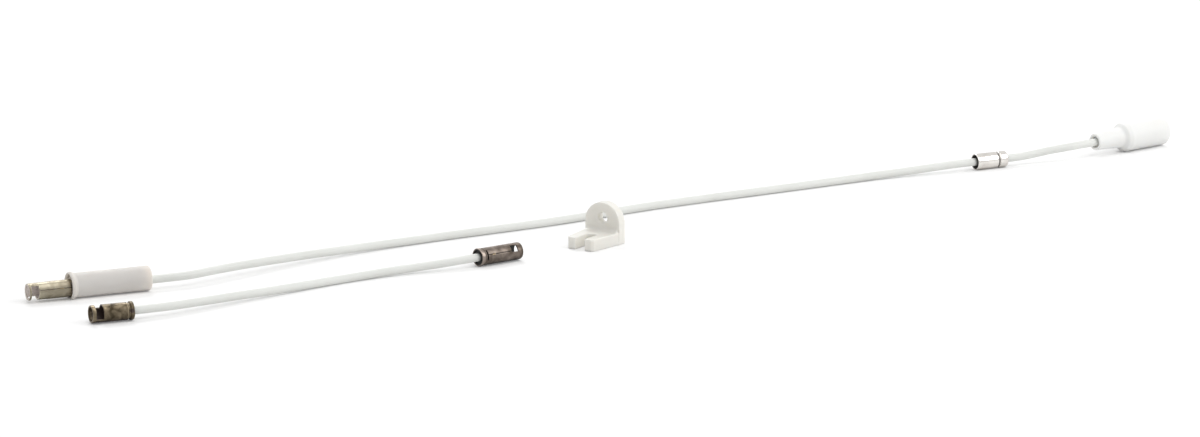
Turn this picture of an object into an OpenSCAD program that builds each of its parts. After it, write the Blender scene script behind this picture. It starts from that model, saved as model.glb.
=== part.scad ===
// Ignition lead set: a long high-voltage lead, a short jumper lead and a guide bracket.
// Millimetres, +Z up, the set lies on its table at z = 0.

/* [Cable] */
// Outside diameter of the silicone jacket
cable_d = 4; // [3.6:0.1:4]
// Diameter of the conductor
core_d = 1.4; // [1:0.1:1.8]
// Radial play of the conductor in its jacket and bushes
core_play = 0.05; // [0.02:0.01:0.1]
// Bare conductor inside each end terminal
strip_len = 1.5; // [1.2:0.1:1.6]
// Bare conductor on each side of the splice
splice_strip = 1.6; // [1.2:0.1:1.7]

/* [Terminals] */
// Outside diameter of the rolled barrel
barrel_d = 8.4; // [8:0.1:8.4]
// Thickness of the rolled sheet
sheet_t = 0.7; // [0.5:0.05:0.9]
// Reach of a long barrel beyond the cut jacket
long_reach = 17.5; // [16:0.5:18]
// Reach of a short barrel beyond the cut jacket
short_reach = 13.5; // [12.5:0.5:15]
// Length of jacket held inside a terminal
jacket_grip = 7; // [6.5:0.25:8]
// Step from the barrel out to the flared ring
flare_step = 0.25; // [0.1:0.05:0.25]
// Length of the flared ring
flare_len = 1.7; // [1.4:0.1:2]
// Width of the rolled crimp groove
groove_w = 0.8; // [0.6:0.1:1.2]
// Depth of the rolled crimp groove
groove_depth = 0.5; // [0.3:0.05:0.7]
// Length of each slope of the crimp
roll_in = 0.4; // [0.3:0.05:0.5]
// Radial gap between a crimp and the jacket
crimp_gap = 0.1; // [0.05:0.01:0.2]
// Plain lip in front of the retaining slot
lip_len = 0.9; // [0.7:0.1:1.4]
// Plain lip of the jumper's front terminal
front_lip = 1.6; // [1.2:0.1:1.6]
// Width of the retaining slot
slot_w = 3.8; // [3.4:0.1:3.8]
// Height of the slot floor above the barrel axis
slot_floor = -0.2; // [-0.4:0.1:1]
// Height of the floor of the shallow slot at the jumper's rear end
shallow_floor = 3.2; // [2.8:0.1:3.3]
// Plain lip in front of the shallow slot
shallow_lip = 3; // [2.4:0.1:3.4]
// Width of the open seam
seam_w = 0.3; // [0.2:0.05:0.5]
// Turn from the slot to the seam, degrees
seam_turn = 56; // [45:1:75]
// Turn from the shallow slot to its seam, degrees
shallow_seam_turn = 22; // [10:1:24]
// Width of the cross cut that ends the seam
relief_w = 0.8; // [0.6:0.1:1]
// Plain barrel between the crimp and the cross cut
relief_gap = 0.2; // [0.15:0.05:0.5]
// Length of the cross cut
relief_span = 5; // [3:0.5:5]
// Rounding of sheet edges
sheet_edge = 0.15; // [0.05:0.05:0.2]

/* [Contacts] */
// Length of a contact bush
bush_len = 2; // [1.9:0.05:2.2]
// Radial play of a bush in its barrel
bush_play = 0.05; // [0.02:0.01:0.1]
// Gap at each end of a bush, to the cut jacket and to the socket
bush_gap = 0.1; // [0.05:0.05:0.2]
// Step from the socket's bore down to the bush's seat
seat_step = 0.4; // [0.3:0.05:0.5]
// Chamfer on the front of a bush
bush_edge = 0.4; // [0.2:0.1:0.6]

/* [Guard sleeve] */
// Wall thickness
sleeve_wall = 0.75; // [0.65:0.05:0.8]
// Step from the sleeve out to the flared front lip
bell_step = 0.85; // [0.5:0.05:0.95]
// Length of the flare
bell_len = 3; // [2:0.25:4]
// Length
sleeve_len = 40.6; // [38:0.2:41]
// Radial play over the main terminal
sleeve_play = 1; // [0.95:0.01:1]
// Height of the sleeve's axis above the cable, which lies low in it
sleeve_rise = 0.95; // [0:0.05:0.95]
// Length of terminal covered at rest
sleeve_lap = 4; // [3.4:0.1:4.2]
// Length of the inner lip that rides on the cable
sleeve_lip = 4; // [3:0.5:6]
// Radial play of moving rubber on the cable
slide_play = 0.25; // [0.2:0.05:0.4]
// Edge chamfer
sleeve_edge = 0.4; // [0.2:0.1:0.6]

/* [Splice ferrule] */
// Outside diameter
ferrule_d = 8.4; // [8:0.1:8.4]
// Length
ferrule_len = 18; // [16:0.5:19]
// Wall thickness
ferrule_wall = 0.6; // [0.5:0.05:0.8]
// Distance of the groove from the rolled end
ferrule_groove_at = 4.8; // [4.2:0.1:5]
// Radius of the rolled end
ferrule_round = 1.2; // [0.8:0.1:1.4]

/* [Boot] */
// Outside diameter of the body
boot_d = 15.6; // [14.6:0.1:15.6]
// Overall length
boot_len = 48; // [46.5:0.5:49]
// Diameter of the neck at its end
neck_d = 8.6; // [8:0.1:9]
// Diameter of the neck at its root
neck_root_d = 10.6; // [10:0.1:11]
// Length of the neck
neck_len = 17.2; // [16:0.2:17.6]
// Diameter of the funnel in the neck's face
funnel_d = 6.2; // [5:0.1:6.6]
// Depth of the funnel
funnel_len = 3; // [2:0.25:4]
// Length of the shoulder
shoulder_len = 4.2; // [3.4:0.2:4.6]
// Turn of the rounding where the shoulder meets the body, degrees
shoulder_turn = 60; // [45:5:75]
// Rubber between the neck's end and the cavity
boot_base = 18.6; // [18.4:0.1:19]
// Radial play of the flared ring in the cavity
boot_play = 0.25; // [0.2:0.05:0.4]
// Gap between the flared ring and the floor of the cavity
boot_seat = 0.3; // [0.2:0.1:0.5]
// Edge rounding
boot_edge = 0.6; // [0.3:0.1:0.8]

/* [Guide bracket] */
// Width of the foot over its prong tips
foot_w = 15.4; // [14.5:0.1:17]
// Height of the foot
foot_h = 6; // [5:0.25:7]
// Length of foot in front of the upright
foot_len = 19.6; // [18:0.2:22]
// Width of the slot between the prongs
fork_w = 5.5; // [5:0.1:6]
// Depth of the slot, round end included
fork_depth = 12; // [10:0.5:14]
// Width of the upright
plate_w = 20.4; // [19:0.2:21.4]
// Height of the upright
plate_h = 20.3; // [19.5:0.1:22]
// Thickness of the upright
plate_t = 5.2; // [4:0.1:6]
// Diameter of the guide hole
guide_d = 5; // [4.6:0.1:5.4]
// Height of the guide hole
guide_z = 12.5; // [11.5:0.1:13]
// Radius of the flared edges of the guide hole
guide_flare = 1.3; // [0.8:0.1:1.6]
// Radius of the fillet between foot and upright
root_r = 3; // [2:0.25:3.5]
// Inset of the foot from the sides of the upright, and of the fillet from the foot
root_inset = 0.3; // [0.2:0.1:0.8]
// Chamfer of the prong tips
tip_r = 1.2; // [0.6:0.1:1.6]

/* [Hidden] */
round_fn = 64;
jacket_sides = 12;
core_sides = 8;
long_steps = 2;
short_steps = 1;
cut = 1;

// Turn of each retaining slot about its terminal, from straight up
main_roll = -130;
boot_roll = 0;
front_roll = -32;
rear_roll = 47;

// Where the bracket lies and how it is turned
bracket_at = [-52.1, -20.1, 0];
bracket_turn = 25;

// Centre lines of the three free stretches of cable
main_route = [
    [-314, 19.9, 5.05], [-298, 17.98, 5.05], [-282, 16.06, 5.05], [-266, 14.14, 5.05], [-250, 12.8, 5.15],
    [-236, 15, 5.25], [-220, 18.4, 4.95], [-202, 22.1, 4.35], [-184, 25.6, 3.7], [-166, 28.4, 3.1],
    [-148, 30.5, 2.6], [-130, 31.9, 2.25], [-112, 32.7, 2.05], [-94, 33, 2], [-66, 32.9, 2],
    [-38, 32.9, 2], [-8, 34.8, 2], [22, 37.3, 2], [52, 37.8, 2], [82, 37.6, 2], [112, 37.4, 2],
    [140, 37.2, 2.1], [162, 36.8, 2.3], [180, 35.2, 2.75], [194, 33, 3.5], [206, 31, 4.1],
    [214.5, 30, 4.2], [222.5, 29.4, 4.2]];
tail_route = [
    [226.5, 29.1, 4.2], [232.5, 28.65, 4.2], [238.5, 28.2, 4.25], [245, 27.3, 4.6], [251, 26.4, 5.3],
    [257, 25.1, 6.15], [263, 23.5, 6.95], [268, 22.2, 7.5], [273, 21.85, 7.8], [285, 23.65, 7.8],
    [298, 25.6, 7.8], [312.2, 27.73, 7.8]];
jumper_route = [
    [-311.1, -32.6, 4.45], [-305.1, -33.5, 4.45], [-299.1, -34.4, 4.45], [-286, -34.7, 4.25],
    [-272, -33.1, 3.9], [-258, -30.9, 3.5], [-243, -28.6, 3.1], [-229, -26.6, 2.7], [-215, -24.6, 2.4],
    [-200, -22.4, 2.15], [-186, -20.7, 2], [-171, -19.7, 2.1], [-157, -19.6, 2.4], [-144, -20.6, 2.8],
    [-133, -22.4, 3.4], [-124, -24, 4.1], [-116, -24.3, 4.45], [-110.5, -23.75, 4.45],
    [-105, -23.2, 4.45]];

cable_r = cable_d / 2;
core_r = core_d / 2;
core_bore_r = core_r + core_play;
barrel_r = barrel_d / 2;
barrel_bore_r = barrel_r - sheet_t;
seat_r = barrel_bore_r - seat_step;
flare_r = barrel_r + flare_step;
crimp_r = cable_r + crimp_gap;
slide_r = cable_r + slide_play;

// Stations along a terminal, measured from the cut jacket towards the mouth
flare_x = -jacket_grip;
crimp_x = flare_x + flare_len;
crimp_end_x = crimp_x + groove_w;
barrel_x = crimp_end_x + roll_in;
relief_x = barrel_x + relief_gap;
bush_x = bush_gap + bush_len;
socket_x = bush_x + bush_gap;

splice_gap = norm(tail_route[0] - main_route[len(main_route) - 1]);
ferrule_x = (splice_gap - ferrule_len) / 2;
ferrule_bore_r = ferrule_d / 2 - ferrule_wall;
sleeve_front = flare_x + sleeve_lap;
sleeve_bore_r = barrel_r + sleeve_play;
sleeve_r = sleeve_bore_r + sleeve_wall;
bell_r = sleeve_r + bell_step;
cavity_x = flare_x - boot_seat;
boot_x = cavity_x - boot_base;
cavity_r = flare_r + boot_play;

function last(p) = p[len(p) - 1];
function reversed(p) = [for (i = [len(p) - 1 : -1 : 0]) p[i]];
function unit(v) = v / norm(v);
function tangent(p, i) =
    i == 0 ? p[1] - p[0] : i == len(p) - 1 ? p[i] - p[i - 1] : (p[i + 1] - p[i - 1]) / 2;
function blend(a, b, ta, tb, t) =
    (2 * t^3 - 3 * t^2 + 1) * a + (t^3 - 2 * t^2 + t) * ta + (3 * t^2 - 2 * t^3) * b + (t^3 - t^2) * tb;
function smooth(p, steps) = concat(
    [for (i = [0 : len(p) - 2], k = [0 : steps - 1])
        blend(p[i], p[i + 1], tangent(p, i), tangent(p, i + 1), k / steps)],
    [last(p)]);
function ring(p, i, r, sides) =
    let (t = unit(tangent(p, i)), side = unit(cross([0, 0, 1], t)), rise = cross(t, side))
    [for (k = [0 : sides - 1]) p[i] + r * (cos(360 * k / sides) * side + sin(360 * k / sides) * rise)];
function rings(p, r, sides) = [for (i = [0 : len(p) - 1]) each ring(p, i, r, sides)];
function bared(p, first, second) = concat(
    [p[0] + first * unit(p[0] - p[1])],
    p,
    [last(p) + second * unit(last(p) - p[len(p) - 2])]);
function quads(a, b, n) = [for (k = [0 : n - 1])
    let (m = (k + 1) % n) each [[a + k, b + k, b + m], [a + k, b + m, a + m]]];
function arc(x, r, radius, from, to, steps) = [for (k = [0 : steps])
    let (a = from + (to - from) * k / steps) [r + radius * sin(a), x + radius * cos(a)]];

// Hollow round tube swept along a line of points
module swept_tube(p, outer, inner, sides) {
    n = len(p);
    inside = n * sides;
    walls = [for (i = [0 : n - 2]) each concat(
        quads(i * sides, (i + 1) * sides, sides),
        quads(inside + (i + 1) * sides, inside + i * sides, sides))];
    ends = concat(quads(inside, 0, sides), quads((n - 1) * sides, inside + (n - 1) * sides, sides));
    polyhedron(concat(rings(p, outer, sides), rings(p, inner, sides)), concat(walls, ends));
}

// Solid round rod swept along a line of points
module swept_rod(p, radius, sides) {
    n = len(p);
    walls = [for (i = [0 : n - 2]) each quads(i * sides, (i + 1) * sides, sides)];
    near = [for (k = [1 : sides - 2]) [0, k, k + 1]];
    base = (n - 1) * sides;
    far = [for (k = [1 : sides - 2]) [base, base + k + 1, base + k]];
    polyhedron(rings(p, radius, sides), concat(walls, near, far));
}

// Places a piece on the cut end of a cable, its +X pointing on out of the cable
module at_end(p) {
    out = last(p) - p[len(p) - 2];
    translate(last(p)) rotate([0, 0, atan2(out[1], out[0])]) children();
}

// Turns an outline of [radius, station] points about the X axis
module turned(outline) {
    rotate([0, 90, 0]) rotate_extrude($fn = round_fn) polygon(outline);
}

// Rolled socket: flared ring, crimp, seam, cross cut, retaining slot and lip
module terminal(reach, roll, step = flare_step, lip = lip_len, floor_z = slot_floor, to_seam = seam_turn) {
    groove_r = barrel_r - groove_depth;
    ring_r = barrel_r + step;
    ring_bore_r = ring_r - sheet_t;
    slot_x = reach - lip - slot_w;
    rotate([roll, 0, 0]) difference() {
        turned([
            [ring_bore_r, flare_x], [ring_r - sheet_edge, flare_x], [ring_r, flare_x + sheet_edge],
            [ring_r, crimp_x - roll_in], [groove_r, crimp_x], [groove_r, crimp_end_x],
            [barrel_r, barrel_x], [barrel_r, reach - sheet_edge], [barrel_r - sheet_edge, reach],
            [barrel_bore_r, reach], [barrel_bore_r, socket_x], [seat_r, socket_x], [seat_r, barrel_x],
            [crimp_r, crimp_end_x], [crimp_r, crimp_x], [ring_bore_r, crimp_x - roll_in]]);
        translate([slot_x, -barrel_d, floor_z]) cube([slot_w, 2 * barrel_d, barrel_d]);
        rotate([to_seam, 0, 0]) {
            translate([relief_x + relief_w / 2, -seam_w / 2, 0])
                cube([slot_x + slot_w / 2 - relief_x - relief_w / 2, seam_w, barrel_d]);
            translate([relief_x, -relief_span / 2, barrel_bore_r / 2])
                cube([relief_w, relief_span, barrel_d]);
        }
    }
}

// Turned bush that carries the bare conductor inside a terminal
module contact_bush() {
    bush_r = seat_r - bush_play;
    floor_x = strip_len + bush_gap;
    turned([[core_bore_r, bush_gap], [bush_r, bush_gap], [bush_r, bush_x - bush_edge],
        [bush_r - bush_edge, bush_x], [0, bush_x], [0, floor_x], [core_bore_r, floor_x]]);
}

module main_terminal() {
    color([0.62, 0.58, 0.5]) at_end(reversed(main_route)) terminal(long_reach, main_roll, step = 0);
}

module main_contact() {
    color([0.8, 0.66, 0.36]) at_end(reversed(main_route)) contact_bush();
}

module main_jacket() {
    color([0.92, 0.91, 0.9])
        swept_tube(smooth(main_route, long_steps), cable_r, core_bore_r, jacket_sides);
}

module main_core() {
    color([0.72, 0.5, 0.36])
        swept_rod(bared(smooth(main_route, long_steps), strip_len, splice_strip), core_r, core_sides);
}

module guard_sleeve() {
    back = sleeve_front - sleeve_len;
    color([0.9, 0.87, 0.86]) at_end(reversed(main_route)) difference() {
        translate([0, 0, sleeve_rise]) turned([
            [0, back], [sleeve_r - sleeve_edge, back], [sleeve_r, back + sleeve_edge],
            [sleeve_r, sleeve_front - bell_len], [bell_r, sleeve_front - sleeve_edge],
            [bell_r - sleeve_edge, sleeve_front], [sleeve_bore_r, sleeve_front],
            [sleeve_bore_r, back + sleeve_lip], [0, back + sleeve_lip]]);
        translate([back - cut, 0, 0]) rotate([0, 90, 0])
            cylinder(h = sleeve_lip + 2 * cut, r = slide_r, $fn = round_fn);
        // flat on which the soft lip lies
        translate([back, -bell_r, -bell_r - main_route[0][2]]) cube([sleeve_len + cut, 2 * bell_r, bell_r]);
    }
}

module splice_ferrule() {
    outer = ferrule_d / 2;
    far = ferrule_x + ferrule_len;
    groove_far = far - ferrule_groove_at;
    groove_near = groove_far - groove_w;
    groove_r = outer - groove_depth;
    color([0.82, 0.82, 0.8]) at_end(main_route) turned(concat(
        [[ferrule_bore_r, ferrule_x], [outer - sheet_edge, ferrule_x], [outer, ferrule_x + sheet_edge],
            [outer, groove_near - roll_in], [groove_r, groove_near], [groove_r, groove_far],
            [outer, groove_far + roll_in]],
        arc(far - ferrule_round, outer - ferrule_round, ferrule_round, 90, 0, 5),
        [[crimp_r, far], [crimp_r, far - ferrule_wall], [ferrule_bore_r, far - ferrule_wall - roll_in],
            [ferrule_bore_r, groove_far + roll_in], [crimp_r, groove_far], [crimp_r, groove_near],
            [ferrule_bore_r, groove_near - roll_in]]));
}

module splice_contact() {
    bush_r = ferrule_bore_r - bush_play;
    color([0.8, 0.66, 0.36]) at_end(main_route) turned([
        [core_bore_r, bush_gap], [bush_r, bush_gap], [bush_r, splice_gap - bush_gap],
        [core_bore_r, splice_gap - bush_gap]]);
}

module tail_jacket() {
    color([0.94, 0.94, 0.93])
        swept_tube(smooth(tail_route, short_steps), cable_r, core_bore_r, jacket_sides);
}

module tail_core() {
    color([0.72, 0.5, 0.36])
        swept_rod(bared(smooth(tail_route, short_steps), splice_strip, strip_len), core_r, core_sides);
}

module boot() {
    mouth = boot_x + boot_len;
    outer = boot_d / 2;
    neck_r = neck_d / 2;
    root_x = boot_x + neck_len;
    body_x = root_x + shoulder_len;
    round_r = shoulder_len / 2;
    color([0.95, 0.95, 0.94]) at_end(tail_route) turned(concat(
        [[slide_r, boot_x + funnel_len], [funnel_d / 2, boot_x]],
        arc(boot_x + boot_edge, neck_r - boot_edge, boot_edge, 180, 90, 3),
        [[neck_root_d / 2, root_x]],
        arc(body_x, outer - round_r, round_r, 90 + shoulder_turn, 90, 4),
        arc(mouth - boot_edge, outer - boot_edge, boot_edge, 90, 0, 3),
        [[cavity_r, mouth], [cavity_r, cavity_x], [slide_r, cavity_x]]));
}

module boot_terminal() {
    color([0.7, 0.68, 0.62]) at_end(tail_route) terminal(long_reach, boot_roll);
}

module boot_contact() {
    color([0.8, 0.66, 0.36]) at_end(tail_route) contact_bush();
}

module jumper_front_terminal() {
    color([0.4, 0.33, 0.25]) at_end(reversed(jumper_route)) terminal(short_reach, front_roll, lip = front_lip);
}

module jumper_front_contact() {
    color([0.8, 0.66, 0.36]) at_end(reversed(jumper_route)) contact_bush();
}

module jumper_jacket() {
    color([0.92, 0.91, 0.9])
        swept_tube(smooth(jumper_route, short_steps), cable_r, core_bore_r, jacket_sides);
}

module jumper_core() {
    color([0.72, 0.5, 0.36])
        swept_rod(bared(smooth(jumper_route, short_steps), strip_len, strip_len), core_r, core_sides);
}

module jumper_rear_terminal() {
    color([0.58, 0.52, 0.47]) at_end(jumper_route)
        terminal(long_reach, rear_roll, lip = shallow_lip, floor_z = shallow_floor, to_seam = shallow_seam_turn);
}

module jumper_rear_contact() {
    color([0.8, 0.66, 0.36]) at_end(jumper_route) contact_bush();
}

// Forked foot seen from above, its prong tips at x = 0, widening towards the upright
module foot_outline() {
    reach = foot_len + plate_t;
    tip = foot_w / 2;
    root = plate_w / 2 - root_inset;
    difference() {
        polygon([[0, tip_r - tip], [tip_r, -tip], [foot_len, -root], [reach, -root],
            [reach, root], [foot_len, root], [tip_r, tip], [0, tip - tip_r]]);
        translate([fork_depth - fork_w / 2, 0]) circle(d = fork_w, $fn = round_fn);
        translate([-cut, -fork_w / 2]) square([cut + fork_depth - fork_w / 2, fork_w]);
    }
}

// Cutter for the guide hole: a plain throat with rounded edges on both faces
module guide_cutter() {
    throat = guide_d / 2;
    translate([0, 0, -cut]) cylinder(h = plate_t + 2 * cut, d = guide_d, $fn = round_fn);
    for (end = [0, 1]) translate([0, 0, end * plate_t]) mirror([0, 0, end])
        rotate_extrude($fn = round_fn) difference() {
            square([throat + guide_flare, guide_flare]);
            translate([throat + guide_flare, guide_flare]) circle(r = guide_flare, $fn = round_fn);
        }
}

module guide_bracket() {
    shoulder_z = plate_h - plate_w / 2;
    foot_root = plate_w - 2 * root_inset;
    narrowing = (foot_root - foot_w) / (foot_len - tip_r);
    fillet_w = foot_root - root_r * narrowing - 2 * root_inset;
    color([0.94, 0.94, 0.93]) translate(bracket_at) rotate([0, 0, bracket_turn]) difference() {
        union() {
            linear_extrude(foot_h) foot_outline();
            translate([foot_len, 0, 0]) rotate([90, 0, 90]) linear_extrude(plate_t) {
                translate([-plate_w / 2, 0]) square([plate_w, shoulder_z]);
                translate([0, shoulder_z]) circle(d = plate_w, $fn = round_fn);
            }
            translate([foot_len - root_r, fillet_w / 2, foot_h]) rotate([90, 0, 0])
                linear_extrude(fillet_w) difference() {
                    translate([0, -cut]) square(root_r + cut);
                    translate([0, root_r]) circle(r = root_r, $fn = round_fn);
                }
        }
        translate([foot_len, 0, guide_z]) rotate([90, 0, 90]) guide_cutter();
    }
}

main_terminal();
main_contact();
main_jacket();
main_core();
guard_sleeve();
splice_ferrule();
splice_contact();
tail_jacket();
tail_core();
boot();
boot_terminal();
boot_contact();
jumper_front_terminal();
jumper_front_contact();
jumper_jacket();
jumper_core();
jumper_rear_terminal();
jumper_rear_contact();
guide_bracket();
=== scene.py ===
import bpy
import bmesh
import math
from mathutils import Matrix, Vector


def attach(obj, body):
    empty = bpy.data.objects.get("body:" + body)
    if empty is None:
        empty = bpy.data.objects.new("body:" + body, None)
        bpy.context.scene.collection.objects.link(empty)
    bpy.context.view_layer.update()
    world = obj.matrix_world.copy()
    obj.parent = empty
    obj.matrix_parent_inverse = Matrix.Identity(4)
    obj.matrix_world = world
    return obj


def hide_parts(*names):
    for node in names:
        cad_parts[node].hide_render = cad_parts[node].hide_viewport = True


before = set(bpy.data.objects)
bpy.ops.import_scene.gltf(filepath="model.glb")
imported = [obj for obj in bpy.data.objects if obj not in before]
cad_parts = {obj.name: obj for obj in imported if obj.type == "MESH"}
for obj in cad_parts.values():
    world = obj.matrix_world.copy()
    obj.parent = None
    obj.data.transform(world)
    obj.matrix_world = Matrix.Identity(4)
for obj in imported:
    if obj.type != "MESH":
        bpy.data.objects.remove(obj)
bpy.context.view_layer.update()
scene = bpy.context.scene
mm = 0.001
print("frame loaded with", len(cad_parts), "nodes")

# camera at the picture's angle, the picture is 1200 by 437
cameraSet = {"target": (-0.008, 0.034, 0.0), "azimuth": -31.0, "elevation": 13.0, "distance": 3.25, "lens": 195.0,
             "sensor": 36.0, "near": 0.05, "far": 60.0}


# unit vector from the middle of the table towards a place round it
def outward(azimuth, elevation):
    a, e = math.radians(azimuth), math.radians(elevation)
    return Vector((math.sin(a) * math.cos(e), -math.cos(a) * math.cos(e), math.sin(e)))


def makeCamera(s):
    back = outward(s["azimuth"], s["elevation"])
    data = bpy.data.cameras.new("leadCamera")
    data.lens = s["lens"]
    data.sensor_width = s["sensor"]
    data.clip_start, data.clip_end = s["near"], s["far"]
    camera = bpy.data.objects.new("leadCamera", data)
    scene.collection.objects.link(camera)
    camera.location = Vector(s["target"]) + back * s["distance"]
    camera.rotation_mode = "QUATERNION"
    camera.rotation_quaternion = (-back).to_track_quat("-Z", "Y")
    scene.camera = camera


makeCamera(cameraSet)
print("camera set")


# keys are socket names or numbers; a colour mix takes its colours at 6 and 7 and gives one at 2
def addNode(tree, kind, links=None, values=None, **props):
    node = tree.nodes.new(kind)
    for key, value in props.items():
        setattr(node, key, value)
    for key, value in (values or {}).items():
        node.inputs[key].default_value = value
    for key, source in (links or {}).items():
        tree.links.new(source, node.inputs[key])
    return node


def groupSockets(tree, inputs, outputs):
    for name, kind, value in inputs:
        socket = tree.interface.new_socket(name=name, in_out="INPUT", socket_type=kind)
        if value is not None:
            socket.default_value = value
    for name, kind in outputs:
        tree.interface.new_socket(name=name, in_out="OUTPUT", socket_type=kind)
    return tree.nodes.new("NodeGroupInput"), tree.nodes.new("NodeGroupOutput")


# soft cloudy change of colour, with a fine grain in its height
def makeMottle():
    tree = bpy.data.node_groups.new("softMottle", "ShaderNodeTree")
    gin, gout = groupSockets(tree, [
        ("Vector", "NodeSocketVector", None), ("Scale", "NodeSocketFloat", 90.0),
        ("Pale", "NodeSocketColor", (0.8, 0.8, 0.8, 1)), ("Deep", "NodeSocketColor", (0.6, 0.6, 0.6, 1)),
        ("Grain", "NodeSocketFloat", 1800.0)],
        [("Color", "NodeSocketColor"), ("Mask", "NodeSocketFloat"), ("Height", "NodeSocketFloat")])
    cloud = addNode(tree, "ShaderNodeTexNoise", {"Vector": gin.outputs["Vector"], "Scale": gin.outputs["Scale"]},
                    {"Detail": 5.0, "Roughness": 0.55})
    mask = addNode(tree, "ShaderNodeMapRange", {"Value": cloud.outputs[0]}, {"From Min": 0.3, "From Max": 0.7})
    colour = addNode(tree, "ShaderNodeMix", {
        "Factor": mask.outputs[0], 6: gin.outputs["Deep"], 7: gin.outputs["Pale"]}, data_type="RGBA")
    grain = addNode(tree, "ShaderNodeTexNoise", {"Vector": gin.outputs["Vector"], "Scale": gin.outputs["Grain"]},
                    {"Detail": 3.0, "Roughness": 0.6})
    tree.links.new(colour.outputs[2], gout.inputs["Color"])
    tree.links.new(mask.outputs[0], gout.inputs["Mask"])
    tree.links.new(grain.outputs[0], gout.inputs["Height"])
    return tree


# tarnish on rolled sheet metal: patches and fine drawing lines; where the inside mark is set a painted tone takes
# over and the metal goes less metallic, painted shade on inner walls, undersides and dents, and painted light on the
# main terminal's inner wall
def makeTarnishAndShade():
    tree = bpy.data.node_groups.new("sheetTarnishAndShade", "ShaderNodeTree")
    gin, gout = groupSockets(tree, [
        ("Vector", "NodeSocketVector", None), ("Lines", "NodeSocketVector", None),
        ("Clean", "NodeSocketColor", (0.6, 0.6, 0.6, 1)), ("Stain", "NodeSocketColor", (0.2, 0.15, 0.1, 1)),
        ("Painted Tone", "NodeSocketColor", (0.1, 0.08, 0.07, 1)), ("Inside", "NodeSocketFloat", 0.0),
        ("Patch", "NodeSocketFloat", 260.0), ("Cover", "NodeSocketFloat", 0.5),
        ("Smooth", "NodeSocketFloat", 0.25), ("Rough", "NodeSocketFloat", 0.5)],
        [("Color", "NodeSocketColor"), ("Roughness", "NodeSocketFloat"), ("Metal", "NodeSocketFloat"),
         ("Height", "NodeSocketFloat")])
    patch = addNode(tree, "ShaderNodeTexNoise", {"Vector": gin.outputs["Vector"], "Scale": gin.outputs["Patch"]},
                    {"Detail": 4.0, "Roughness": 0.5, "Distortion": 0.5})
    blur = 0.2  # how softly a patch fades at its edge
    low = addNode(tree, "ShaderNodeMath", {0: gin.outputs["Cover"]}, {1: blur}, operation="SUBTRACT")
    high = addNode(tree, "ShaderNodeMath", {0: gin.outputs["Cover"]}, {1: blur}, operation="ADD")
    mask = addNode(tree, "ShaderNodeMapRange", {
        "Value": patch.outputs[0], "From Min": low.outputs[0], "From Max": high.outputs[0]})
    colour = addNode(tree, "ShaderNodeMix", {
        "Factor": mask.outputs[0], 6: gin.outputs["Stain"], 7: gin.outputs["Clean"]}, data_type="RGBA")
    # the painted tone for light and shade takes over where the inside mark is set
    paintedMix = addNode(tree, "ShaderNodeMix", {
        "Factor": gin.outputs["Inside"], 6: colour.outputs[2], 7: gin.outputs["Painted Tone"]}, data_type="RGBA")
    rough = addNode(tree, "ShaderNodeMapRange", {
        "Value": mask.outputs[0], "To Min": gin.outputs["Rough"], "To Max": gin.outputs["Smooth"]})
    metal = addNode(tree, "ShaderNodeMapRange", {"Value": gin.outputs["Inside"]}, {"To Min": 1.0, "To Max": 0.25})
    lines = addNode(tree, "ShaderNodeTexNoise", {"Vector": gin.outputs["Lines"]}, {"Scale": 1.0, "Detail": 3.0})
    tree.links.new(paintedMix.outputs[2], gout.inputs["Color"])
    tree.links.new(rough.outputs[0], gout.inputs["Roughness"])
    tree.links.new(metal.outputs[0], gout.inputs["Metal"])
    tree.links.new(lines.outputs[0], gout.inputs["Height"])
    return tree


mottleGroup = makeMottle()
tarnishAndShadeGroup = makeTarnishAndShade()


def newMaterial(name):
    mat = bpy.data.materials.new(name)
    mat.use_nodes = True
    tree = mat.node_tree
    tree.nodes.clear()
    out = tree.nodes.new("ShaderNodeOutputMaterial")
    skin = tree.nodes.new("ShaderNodeBsdfPrincipled")
    tree.links.new(skin.outputs[0], out.inputs[0])
    return mat, tree, skin


# white rubber and plastic; rough is a range, glow and depth are for the light that passes through the wall
def paleMaterial(name, pale, deep, scale, grain, bump, rough, coat=0.0, coatRough=0.1, lines=None, paintedShade=None,
                 glow=0.0, depth=0.003):
    mat, tree, skin = newMaterial(name)
    coords = addNode(tree, "ShaderNodeTexCoord")
    mottle = addNode(tree, "ShaderNodeGroup", {"Vector": coords.outputs["Object"]},
                     {"Scale": scale, "Pale": (*pale, 1), "Deep": (*deep, 1), "Grain": grain}, node_tree=mottleGroup)
    colour = mottle.outputs["Color"]
    if paintedShade:  # painted shade where the piece sits inside metal
        covered = addNode(tree, "ShaderNodeAttribute", attribute_name="covered")
        shadeMix = addNode(tree, "ShaderNodeMix", {"Factor": covered.outputs["Fac"], 6: colour}, {7: (*paintedShade, 1)},
                        data_type="RGBA")
        colour = shadeMix.outputs[2]
    tree.links.new(colour, skin.inputs["Base Color"])
    shine = addNode(tree, "ShaderNodeMapRange", {"Value": mottle.outputs["Mask"]},
                    {"To Min": rough[0], "To Max": rough[1]})
    tree.links.new(shine.outputs[0], skin.inputs["Roughness"])
    height = mottle.outputs["Height"]
    if lines:  # faint drawing marks along the piece, from its own UV map
        along = addNode(tree, "ShaderNodeMapping", {"Vector": coords.outputs["UV"]}, {"Scale": (*lines, 1)})
        streak = addNode(tree, "ShaderNodeTexNoise", {"Vector": along.outputs[0]}, {"Scale": 1.0, "Detail": 2.0})
        both = addNode(tree, "ShaderNodeMath", {0: height, 1: streak.outputs[0]}, operation="ADD")
        height = both.outputs[0]
    relief = addNode(tree, "ShaderNodeBump", {"Height": height}, {"Strength": bump, "Distance": 0.0001})
    tree.links.new(relief.outputs[0], skin.inputs["Normal"])
    skin.inputs["IOR"].default_value = 1.45
    skin.inputs["Coat Weight"].default_value = coat
    skin.inputs["Coat Roughness"].default_value = coatRough
    skin.inputs["Subsurface Weight"].default_value = glow
    skin.inputs["Subsurface Radius"].default_value = (1.0, 0.95, 0.88)
    skin.inputs["Subsurface Scale"].default_value = depth
    return mat
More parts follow.
